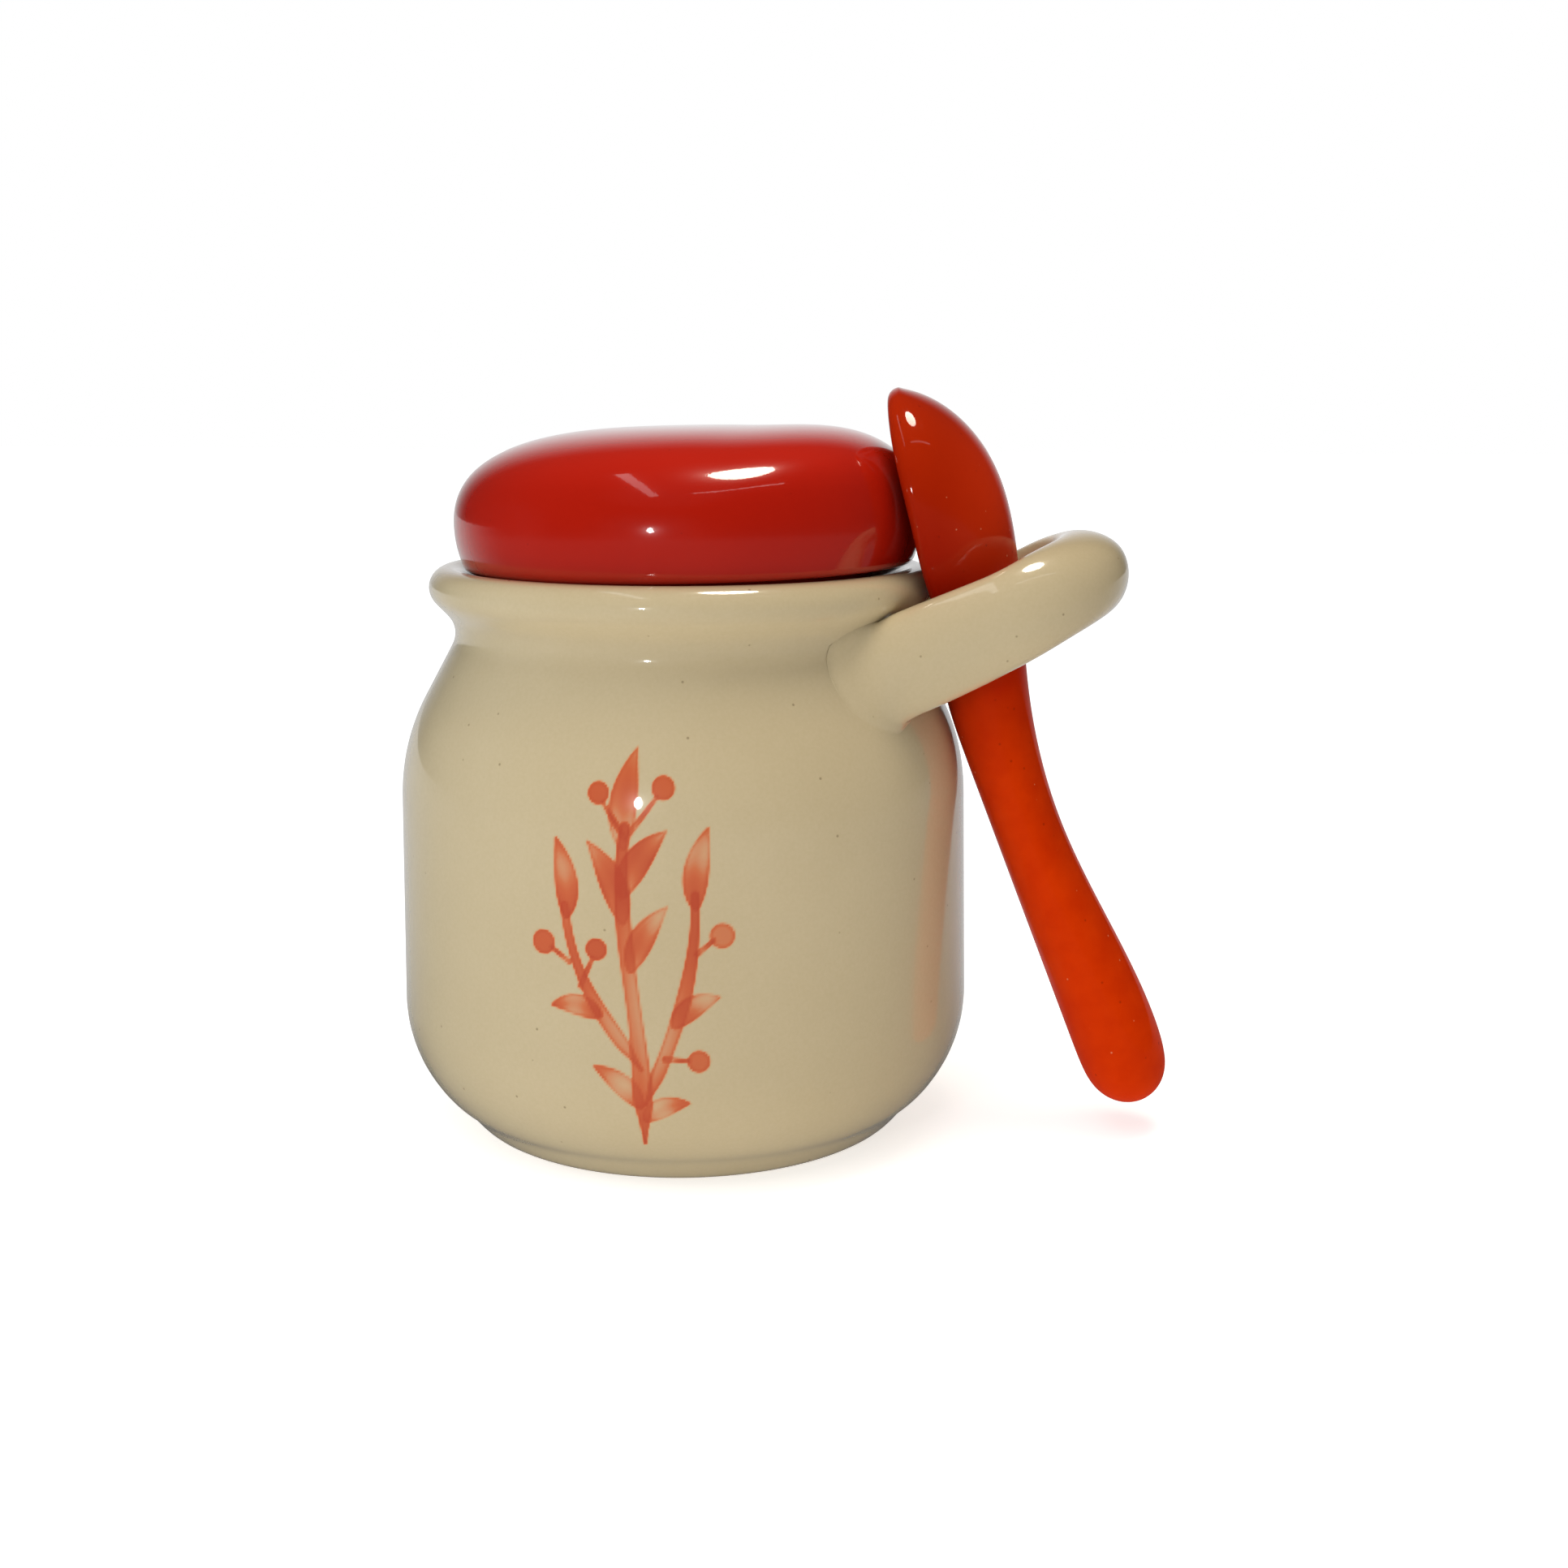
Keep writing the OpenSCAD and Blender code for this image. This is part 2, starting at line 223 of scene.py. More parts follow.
# turns an outline that starts and ends on the axis; turns lists the angles, in radians
def turnedMesh(outline, turns):
    radius, height = outline[1:-1, :1], outline[1:-1, 1:]
    rings = np.stack([radius * np.cos(turns), radius * np.sin(turns), height + 0 * turns], axis=-1)
    points, faces = ringMesh(rings, (0, 0, outline[0, 1]), (0, 0, outline[-1, 1]))
    return points, [face[:1] + face[:0:-1] for face in faces]  # the other way round, to face outward


def faceMeans(values, faces):
    return np.array([np.mean([values[i] for i in face]) for face in faces])


# camera at the photograph's place: a little above the rim, turned slightly off the square view of the loop
camera = {"place": (62.06, -291.95, 110.14), "downDeg": 11.296, "leftDeg": 9.134, "lens": 46.09, "sensor": 36,
          "clip": (10, 50000)}


def makeCamera():
    data = bpy.data.cameras.new("camera")
    data.lens, data.sensor_width = camera["lens"], camera["sensor"]
    data.clip_start, data.clip_end = metres(*camera["clip"])
    thing = bpy.data.objects.new("camera", data)
    thing.location = metres(*camera["place"])
    thing.rotation_euler = (math.radians(90 - camera["downDeg"]), 0, math.radians(camera["leftDeg"]))
    bpy.context.scene.collection.objects.link(thing)
    bpy.context.scene.camera = thing


makeCamera()
print("camera set")


# earthenware under a clear glossy glaze: a warm cream with faint clouding, fine grain and sparse iron specks,
# and the soft ripple that a melted glaze leaves in its reflections
def makeCreamGlaze():
    material, tree = newMaterial("creamGlazedEarthenware")
    place = addNode(tree, "ShaderNodeTexCoord").outputs["Object"]
    clouded = mixColours(tree, addNoise(tree, place, 24, 3.0), "CDBD9A", "C4B38E")
    # the glaze breaks a little in grain about 0.5 mm wide
    grain = addNoise(tree, place, 0.5, 2.0)
    grained = mixColours(tree, addRange(tree, grain, (0.3, 0.7), (0.0, 0.1)), clouded, "A8966A")
    # iron specks with soft edges, up to 0.5 mm wide and on the surface about 14 mm apart
    specked = mixColours(tree, addSpots(tree, place, 4.5, (0.025, 0.055), 0.55), grained, "6E5A3C")
    # brush wash under the glaze: pale coral where thin, brick red where strokes pool or cross
    wash = addNode(tree, "ShaderNodeAttribute", attribute_name="sprigWash").outputs["Fac"]
    pigment = addNode(tree, "ShaderNodeValToRGB", {"Fac": wash})
    stops = pigment.color_ramp.elements
    stops[0].position, stops[0].color = 0.25, toLinear("D98B5A")
    stops[1].position, stops[1].color = 0.95, toLinear("BA3718")
    stops.new(0.6).color = toLinear("CC5C32")
    cover = addRange(tree, wash, (0.02, 0.5), (0.0, 0.94))
    painted = mixColours(tree, cover, specked, pigment.outputs["Color"])
    peel = addBump(tree, addNoise(tree, place, 5, 1.0), 0.25, 0.05)
    addSurface(tree, {
        "Base Color": painted, "Roughness": 0.2, "IOR": 1.45, "Specular IOR Level": 0.2,
        "Coat Weight": 1.0, "Coat Roughness": 0.03, "Coat IOR": 1.5,
        "Normal": peel, "Coat Normal": addBump(tree, grain, 0.12, 0.02, Normal=peel)})
    return material


# bare fired clay on the foot ring and the flange's edge, wiped clean: buff, dry, a little sandy
def makeBareClay():
    material, tree = newMaterial("bareFiredClay")
    place = addNode(tree, "ShaderNodeTexCoord").outputs["Object"]
    sand = addNoise(tree, place, 0.8, 4.0)
    addSurface(tree, {"Base Color": mixColours(tree, sand, "CDB795", "B39A76"), "Roughness": 0.85,
                      "Normal": addBump(tree, sand, 0.5, 0.08)})
    return material


# opaque red glaze, poured: deep red with dark pinholes, and fine seed bubbles that sparkle round
# the highlights; its crown carries painted top light
def makeRedGlaze():
    material, tree = newMaterial("redGlazedEarthenware")
    place = addNode(tree, "ShaderNodeTexCoord").outputs["Object"]
    height = addNode(tree, "ShaderNodeSeparateXYZ", {"Vector": place}).outputs["Z"]
    clouded = mixColours(tree, addNoise(tree, place, 18, 3.0), "B01B09", "A51607")
    # painted light: the crown is given a brighter red, as light from above falls on it
    paintedTopLight = addRange(tree, height, metres(95, 104), smooth=True)
    withTopLight = mixColours(tree, paintedTopLight, clouded, "C62310")
    pitted = mixColours(tree, addSpots(tree, place, 3.2, (0.02, 0.05), 0.5), withTopLight, "5E0F0A")
    peel = addBump(tree, addNoise(tree, place, 6, 1.0), 0.25, 0.06)
    seeds = addNoise(tree, place, 0.35, 1.0)
    addSurface(tree, {
        "Base Color": pitted, "Roughness": 0.2, "IOR": 1.45, "Specular IOR Level": 0.15,
        "Coat Weight": 1.0, "Coat Roughness": 0.04, "Coat IOR": 1.5,
        "Normal": peel, "Coat Normal": addBump(tree, seeds, 0.16, 0.02, Normal=peel)})
    return material


# thick orange-red glaze over a pale body: it glows where it lies thick on the handle, turns brown-red on
# the bowl, and holds dark grains and pale seed bubbles
def makeOrangeGlaze():
    material, tree = newMaterial("orangeRedGlazedEarthenware")
    place = addNode(tree, "ShaderNodeTexCoord").outputs["Object"]
    axes = addNode(tree, "ShaderNodeSeparateXYZ", {"Vector": place}).outputs
    mottle = addRange(tree, addNoise(tree, place, 4, 4.0), (0.2, 0.8))
    handle = mixColours(tree, mottle, "DC3A03", "CE2F01")
    # painted light on the bowl: lighter toward its tip, a painted reflection of the white backdrop, and
    # brighter on its back above the loop, painted light as though lit from behind and the right
    bowl = mixColours(tree, addRange(tree, axes["Z"], metres(82, 104)), "981402", "A62405")
    behind = addRange(tree, axes["X"], metres(38, 50), smooth=True)
    paintedBackLightHigh = addRange(tree, axes["Z"], metres(80, 90))
    # painted light: the back of the bowl above the loop takes the brighter orange
    bowl = mixColours(tree, addMaths(tree, "MULTIPLY", behind, paintedBackLightHigh), bowl, "D6340A")
    bowlPart = addRange(tree, axes["Z"], metres(53, 78), (0.0, 0.95), smooth=True)
    body = mixColours(tree, bowlPart, handle, bowl)
    specked = mixColours(tree, addSpots(tree, place, 2.6, (0.03, 0.1), 0.5), body, "7A1404")
    # seed bubbles up to 0.4 mm wide show as pale points
    seeded = mixColours(tree, addSpots(tree, place, 3.1, (0.03, 0.06), 0.6), specked, "E59A78")
    peel = addBump(tree, addNoise(tree, place, 5, 1.0), 0.25, 0.06)
    # the gloss is thin: weak face on, strong at the edge, and dulled by handling on the handle
    edge = addNode(tree, "ShaderNodeLayerWeight", {"Blend": 0.5}).outputs["Facing"]
    gloss = addRange(tree, edge, (0.05, 0.35), (0.42, 1.0))
    handled = addRange(tree, axes["Z"], metres(83, 91), (0.36, 1.0))
    addSurface(tree, {
        "Base Color": seeded, "Roughness": 0.5, "IOR": 1.45, "Specular IOR Level": 0.0,
        "Coat Weight": addMaths(tree, "MULTIPLY", gloss, handled), "Coat Roughness": 0.06, "Coat IOR": 1.48,
        "Normal": peel, "Coat Normal": peel})
    return material


creamGlaze = makeCreamGlaze()
bareClay = makeBareClay()
redGlaze = makeRedGlaze()
orangeGlaze = makeOrangeGlaze()
print("glazes mixed")


# pot: millimetres; a pair is where a ramp starts and how long it is
pot = {
    "height": 84, "bellyR": 42.6, "bellyZ": 19.5, "bellyRound": 21, "shoulderR": 42, "shoulderRound": 31.6,
    "shoulderSlope": 28, "neckR": 33.65, "neckDrop": 9.6, "neckRound": 4, "rimR": 37.3, "rimRound": 3,
    "wall": 4, "floor": 5, "footR": 34.3, "footH": 4.8, "footW": 7, "footRecess": 1.5, "footRound": 4.2,
    # melted glaze: how far it rounds every corner, how much of the step over the foot it fills, and where
    "glazeSoftness": 0.45, "grooveFill": 0.72, "grooveSoftness": 1.1,
    "meltOut": 2, "meltLow": (0.8, 1.5), "meltHigh": (8, 3),
    # a hand-made pot is never quite round: here by about a tenth of a millimetre, fading out toward the
    # table, the neck and the loop
    "oval": 0.0022, "ovalTurn": 0.6, "lobes": 0.0012, "lobeTwist": 17,
    "swellLow": (0, 12), "swellHigh": (62, 12), "swellLoop": (0.2, 0.4),
    # bare clay under the foot ring, and the spacing of the mesh
    "bareHigh": 0.35, "bareIn": 0.6,
    "rowStep": 0.55, "innerStep": 1.1, "mouthStep": 0.6, "mouthZ": 70, "turns": 112}


# the pot's whole outline, from the middle of its underside to the middle of its floor, and its outer part
def potOutlines():
    slope = math.radians(pot["shoulderSlope"])
    along = np.array([math.cos(slope), math.sin(slope)])
    rimC = np.array([pot["rimR"] - pot["rimRound"], pot["height"] - pot["rimRound"]])
    neckC = np.array([pot["neckR"] + pot["neckRound"], pot["height"] - pot["neckDrop"]])
    slopeTop = neckC - pot["neckRound"] * along
    lowR = pot["shoulderR"] - pot["shoulderRound"] * (1 - math.cos(slope))
    slopeLow = np.array([lowR, slopeTop[1] - (lowR - slopeTop[0]) / math.tan(slope)])
    shoulderC = slopeLow - pot["shoulderRound"] * along
    bellyC = np.array([pot["bellyR"] - pot["bellyRound"], pot["bellyZ"]])
    bellyFrom = -math.degrees(math.asin((pot["bellyZ"] - pot["footH"]) / pot["bellyRound"]))
    footC = np.array([pot["footR"] - pot["footRound"], pot["footRound"]])
    footIn = pot["footR"] - pot["footW"]
    floorZ = pot["footRecess"] + pot["floor"]
    floorFrom = -math.degrees(math.asin((pot["bellyZ"] - floorZ) / (pot["bellyRound"] - pot["wall"])))
    toRim = rimC - neckC
    far, direction = math.hypot(*toRim), math.degrees(math.atan2(toRim[1], toRim[0]))
    rimTangent = direction + math.degrees(math.acos(min(1, (pot["neckRound"] + pot["rimRound"]) / far)))
    mouthReach = pot["neckRound"] + pot["wall"] - pot["rimRound"]
    mouthTangent = direction + math.degrees(math.acos(mouthReach / far))
    outside = np.r_[
        [[0, pot["footRecess"]], [footIn, pot["footRecess"]], [footIn, 0]],
        arcPoints(footC, pot["footRound"], -90, 0),
        [[pot["footR"], pot["footH"]]],
        arcPoints(bellyC, pot["bellyRound"], bellyFrom, 0),
        arcPoints(shoulderC, pot["shoulderRound"], 0, pot["shoulderSlope"]),
        arcPoints(neckC, pot["neckRound"], 180 + pot["shoulderSlope"], rimTangent),
        arcPoints(rimC, pot["rimRound"], rimTangent - 180, 90)]
    inside = np.r_[
        arcPoints(rimC, pot["rimRound"], 90, mouthTangent)[1:],
        arcPoints(neckC, pot["neckRound"] + pot["wall"], mouthTangent, 180 + pot["shoulderSlope"]),
        arcPoints(shoulderC, pot["shoulderRound"] - pot["wall"], pot["shoulderSlope"], 0),
        arcPoints(bellyC, pot["bellyRound"] - pot["wall"], 0, floorFrom),
        [[0, floorZ]]]
    # the step over the foot is left as a shallow groove under the line that touches both rounds
    toFoot = footC - bellyC
    lean = math.acos((pot["bellyRound"] - pot["footRound"]) / math.hypot(*toFoot))
    out = math.atan2(toFoot[1], toFoot[0]) + lean
    facing, downward = np.array([math.cos(out), math.sin(out)]), np.array([math.sin(out), -math.cos(out)])
    fromBelly = outside - bellyC
    below = fromBelly @ downward
    inGroove = (below > 0) & (below < toFoot @ downward) & (outside[:, 0] > footC[0])
    outside += np.outer(pot["grooveFill"] * inGroove * (pot["bellyRound"] - fromBelly @ facing), facing)
    sharp = np.r_[outside, inside]
    whole, melted = [glazeSoft(sharp, pot[key]) for key in ("glazeSoftness", "grooveSoftness")]
    radius, height = whole.T
    overFoot = ramp(radius, footC[0], pot["meltOut"]) * (1 - ramp(height, *pot["meltHigh"]))
    overFoot = overFoot * ramp(height, *pot["meltLow"])
    whole += (melted - whole) * overFoot[:, None]
    whole[:, 1] = np.maximum(whole[:, 1], 0)
    top = whole[:, 1].argmax()
    return whole, whole[:top + 1]


# sprig painted on the front: three stems that fan out, with almond leaves and berries.
# places are millimetres round the belly and up from the table; each stroke is one pull of a soft brush
sprig = {
    "middleDeg": -88, "halfWide": 15, "low": 7, "high": 66, "spacing": 0.3, "edge": 0.16, "firstSeed": 1.0,
    # pigment pools at the edge of the wet stroke, shows the brush's hairs, and lies thick on one part of
    # the stroke and thin on another, each time elsewhere
    "pool": 0.16, "poolWide": 0.6, "hairs": 0.04, "hairWaves": (2.6, 2.1, 2),
    "drag": 0.16, "dragTurn": 0.4, "least": 0.1,
    # a stem starts thin and wavers; a leaf bows, is widest before its middle and ends in a point
    "thinStart": 0.2, "thinFor": 0.2, "wavers": 9, "stalkWide": (0.42, 0.3), "stalkSteps": 8,
    "leafBend": (0.35, 1.4, 0.7), "leafThin": 0.16, "leafFull": (0.85, 0.9), "leafTaper": 0.25}
brush = {  # its load of paint, how much that varies, how much the width wavers, and the step to the next seed
    "stem": (0.56, 0, 0.12, 1.7), "leaf": (0.5, 0.08, 0, 1.3),
    "stalk": (0.55, 0, 0, 0.9), "berry": (0.64, 0.1, 0, 1.1)}
stems = [  # four points of its curve, then its half width at the foot and at the end
    ([(1.0, 8.6), (2.6, 24), (-3.0, 38), (-0.8, 53)], (1.5, 0.75)),
    ([(1.6, 15), (5.2, 24), (8.8, 32), (8.6, 44)], (1.25, 0.65)),
    ([(1.2, 20), (-3.8, 27), (-8.4, 32), (-9.4, 42)], (1.15, 0.6))]
leaves = [  # foot of the leaf, its tip, how far it bows, and its half width
    ((-1.0, 50), (0.6, 63.2), 0.9, 2.0), ((-1.3, 43.5), (4.8, 52.6), 1.1, 1.9),
    ((-1.2, 40), (-6.0, 51), -1.1, 1.9), ((-0.2, 33.5), (4.8, 42.4), 0.9, 1.75),
    ((5.6, 26), (11.8, 30), 1.0, 1.6), ((8.7, 42), (10.4, 53), 0.8, 1.8),
    ((-9.2, 40.4), (-10.6, 51.2), -0.8, 1.75), ((-4.4, 27.2), (-11.4, 28.2), -1.0, 1.55),
    ((1.0, 14.4), (-5.4, 20.2), -0.9, 1.6), ((1.4, 12.4), (7.6, 15.2), 1.0, 1.55)]
stalks = [  # from the stem to the berry
    ((8.8, 36), (11.0, 37.8)), ((4.4, 21.6), (7.5, 21.3)), ((-8.8, 34.4), (-11.4, 36.2)),
    ((-7.2, 31.2), (-5.4, 35.2)), ((0.0, 52.4), (3.5, 57)), ((-0.8, 51.6), (-3.9, 56.2))]
berries = [  # middle and radius
    ((12.2, 38.4), 1.75), ((8.9, 21.2), 1.55), ((-12.6, 36.8), 1.7),
    ((-4.9, 36.4), 1.5), ((4.4, 58.2), 1.6), ((-4.6, 57.4), 1.5)]


def brushPath(points, count=28):
    t = np.linspace(0, 1, count)[:, None]
    a, b, c, d = np.asarray(points, float)
    return a * (1 - t) ** 3 + 3 * b * t * (1 - t) ** 2 + 3 * c * t * t * (1 - t) + d * t ** 3


# each of these four gives the path of a stroke and its half width along the path
def stemStroke(stem):
    path = brushPath(stem[0])
    t = np.linspace(0, 1, len(path))
    opened = sprig["thinStart"] + (1 - sprig["thinStart"]) * ramp(t, 0, sprig["thinFor"])
    return path, np.linspace(*stem[1], len(path)) * opened


def leafStroke(leaf):
    foot, tip = np.array(leaf[:2], float)
    bow, half = leaf[2:]
    run = tip - foot
    side = np.array([-run[1], run[0]]) / math.dist(tip, foot)
    first, more, second = sprig["leafBend"]
    path = brushPath([foot, foot + run * first + side * bow * more, foot + run * second + side * bow, tip])
    t = np.linspace(0, 1, len(path))
    early, full = sprig["leafFull"]
    almond = np.sin(math.pi * t ** early) ** full
    return path, sprig["leafThin"] + half * almond * (1 - sprig["leafTaper"] * t)


def stalkStroke(stalk):
    start, end = np.array(stalk, float)
    steps = sprig["stalkSteps"]
    return start + (end - start) * np.linspace(0, 1, steps)[:, None], np.linspace(*sprig["stalkWide"], steps)


def berryStroke(berry):
    middle, size = berry
    return np.array([middle, middle]), np.array([size, size])


# depth of wash that one stroke leaves at the given places, from 0 to 1
def strokeWash(places, path, halfWidths, load, seed):
    tiny = 1e-9  # a berry is a stroke of no length
    best = np.full(len(places), 9.0)  # too far off to be painted
    across, along = np.zeros(len(places)), np.zeros(len(places))
    for i in range(len(path) - 1):
        step = path[i + 1] - path[i]
        t = np.clip(((places - path[i]) @ step) / max(step @ step, tiny), 0, 1)
        gap = places - path[i] - t[:, None] * step
        width = halfWidths[i] + (halfWidths[i + 1] - halfWidths[i]) * t
        distance = np.hypot(*gap.T) - width
        nearer = distance < best
        best = np.where(nearer, distance, best)
        aside = (gap[:, 0] * step[1] - gap[:, 1] * step[0]) / max(math.hypot(*step), tiny)
        across = np.where(nearer, aside, across)
        along = np.where(nearer, (i + t) / (len(path) - 1), along)
    inside = 1 - ramp(best, -sprig["edge"], 2 * sprig["edge"])
    pooled = sprig["pool"] * ease(1 + best / sprig["poolWide"])
    perMm, perSeed, perLength = sprig["hairWaves"]
    hairs = sprig["hairs"] * np.sin(across * perMm + seed * perSeed + along * perLength)
    drag = sprig["drag"] * np.cos(math.pi * (2 * along - 1) + seed * sprig["dragTurn"])
    return inside * np.clip(load - drag + pooled + hairs, sprig["least"], 1)


def paintSprig(places):
    left, seed = np.ones(len(places)), sprig["firstSeed"]
    kinds = [("stem", stems, stemStroke), ("leaf", leaves, leafStroke), ("stalk", stalks, stalkStroke),
             ("berry", berries, berryStroke)]
    for kind, shapes, stroke in kinds:
        load, varies, waver, onward = brush[kind]
        for shape in shapes:
            path, halfWidths = stroke(shape)
            t = np.linspace(0, 1, len(path))
            halfWidths = halfWidths * (1 + waver * np.sin(sprig["wavers"] * t + seed))
            left *= 1 - strokeWash(places, path, halfWidths, load + varies * math.sin(seed), seed)
            seed += onward
    return 1 - left


def makePot():
    whole, outside = potOutlines()

    def outerStep(p):
        return sprig["spacing"] if sprig["low"] < p[1] < sprig["high"] else pot["rowStep"]

    def innerStep(p):
        return pot["innerStep"] if p[1] < pot["mouthZ"] else pot["mouthStep"]

    outer, inner = thinOut(outside, outerStep), thinOut(whole[len(outside) - 1:], innerStep)
    # the columns stand closer together where the sprig is painted
    middle, reach = math.radians(sprig["middleDeg"]), sprig["halfWide"] / pot["bellyR"]
    front = np.arange(middle - reach, middle + reach, sprig["spacing"] / pot["bellyR"])
    rest = np.linspace(middle + reach, middle - reach + 2 * math.pi, pot["turns"], endpoint=False)
    turns = np.r_[front, rest]
    points, faces = turnedMesh(np.r_[outer, inner[1:]], turns)
    angle, height = np.arctan2(points[:, 1], points[:, 0]), points[:, 2]
    swell = (pot["oval"] * np.sin(2 * angle + pot["ovalTurn"])
             + pot["lobes"] * np.sin(3 * angle + height / pot["lobeTwist"]))
    swell = swell * ramp(height, *pot["swellLow"]) * (1 - ramp(height, *pot["swellHigh"]))
    points[:, :2] *= (1 + swell * (1 - ramp(np.cos(angle), *pot["swellLoop"])))[:, None]
    ringIn = pot["footR"] - pot["footW"] - pot["bareIn"]
    onRing = faceMeans(np.hypot(points[:, 0], points[:, 1]), faces) > ringIn
    bare = onRing & (faceMeans(height, faces) < pot["bareHigh"])
    piece = addPiece("potBody", points, faces, "pot", ["pot_body"],
                     [creamGlaze, bareClay], bare)
    around = ((angle - middle + math.pi) % (2 * math.pi) - math.pi) * pot["bellyR"]
    painted = (np.abs(around) < sprig["halfWide"]) & (height > sprig["low"]) & (height < sprig["high"])
    painted &= np.arange(len(points)) < (len(outer) - 1) * len(turns)  # the outer wall's rows come first
    wash = np.zeros(len(points))
    wash[painted] = paintSprig(np.c_[around, height][painted])
    layer = piece.data.attributes.new("sprigWash", "FLOAT", "POINT")
    layer.data.foreach_set("value", wash.astype(np.float32))
    return outside


potOutside = makePot()


# strap loop: a flat strap bent into a U, its two ends pressed onto the neck and smoothed down with a wet
# finger; u runs out along the strap's slope from the neck
loop = {
    "rootWide": 43.2, "rootU": -6, "leanDeg": 5, "out": 34.2, "slopeDeg": 26, "drop": 3.1,
    "thick": 8.4, "rootH": 14.4, "endH": 11.8,
    # the strands sag, the end droops, its top edge rises, and it is rounded back, more at its top than below
    "sag": 0.4, "droop": 0.5, "droopOver": (22, 12), "noseRise": 0.7, "noseOver": (15, 13),
    "tuck": (2.2, 0.9), "tuckOver": (16, 14),
    # the far side of the bend stands a little higher: two lifts, the x where each starts, their length,
    # and the ramp in y that both follow
    "farLift": (-0.1, 0.2), "farFrom": (36, 48), "farLength": 12, "farSide": (-8, 24),
    # spread and swell of the pressed ends on the outer side, the top, below and the inner side
    "skirt": (3.8, 2.8, 0.6, 1.8), "swell": (0.95, 1.4, 0.5, 0.6),
    # a thumb-shaped end, as parts of spread and swell: up from under the wall and over a rounded shoulder
    "thumb": ((1.2, -0.12), (1.0, 0.0), (0.8, 0.05), (0.5, 0.72), (0.12, 1.15)),
    "leave": 3.0, "leaveRoom": 6, "leaveStep": 2.5,
    # the wall behind the strap, and the mesh
    "wallLow": 40, "wallHigh": 75.5, "wallStep": 0.2, "wallTries": 8, "probeFrom": -12, "probes": 300,
    "sides": 72, "rootRings": 26, "strandRings": 7, "bendRings": 55, "wetRings": 22, "wetStrokes": 3}


# radius of the wall that the strap is pressed onto; it goes straight up behind the rolled rim
def potRadius(z):
    wall = potOutside[(potOutside[:, 1] > loop["wallLow"]) & (potOutside[:, 1] < loop["wallHigh"])]
    return np.interp(z, wall[:, 1], wall[:, 0])


def potNormal(p):
    around, step = np.arctan2(p[:, 1], p[:, 0]), loop["wallStep"]
    lean = (potRadius(p[:, 2] + step) - potRadius(p[:, 2] - step)) / (2 * step)
    normal = np.c_[np.cos(around), np.sin(around), -lean]
    return normal / np.linalg.norm(normal, axis=1, keepdims=True)


def overWall(p):
    return np.hypot(p[..., 0], p[..., 1]) - potRadius(p[..., 2])


def ontoWall(p):
    for _ in range(loop["wallTries"]):
        facing = potNormal(p)
        p = p - (overWall(p) * np.hypot(facing[:, 0], facing[:, 1]))[:, None] * facing
    return p


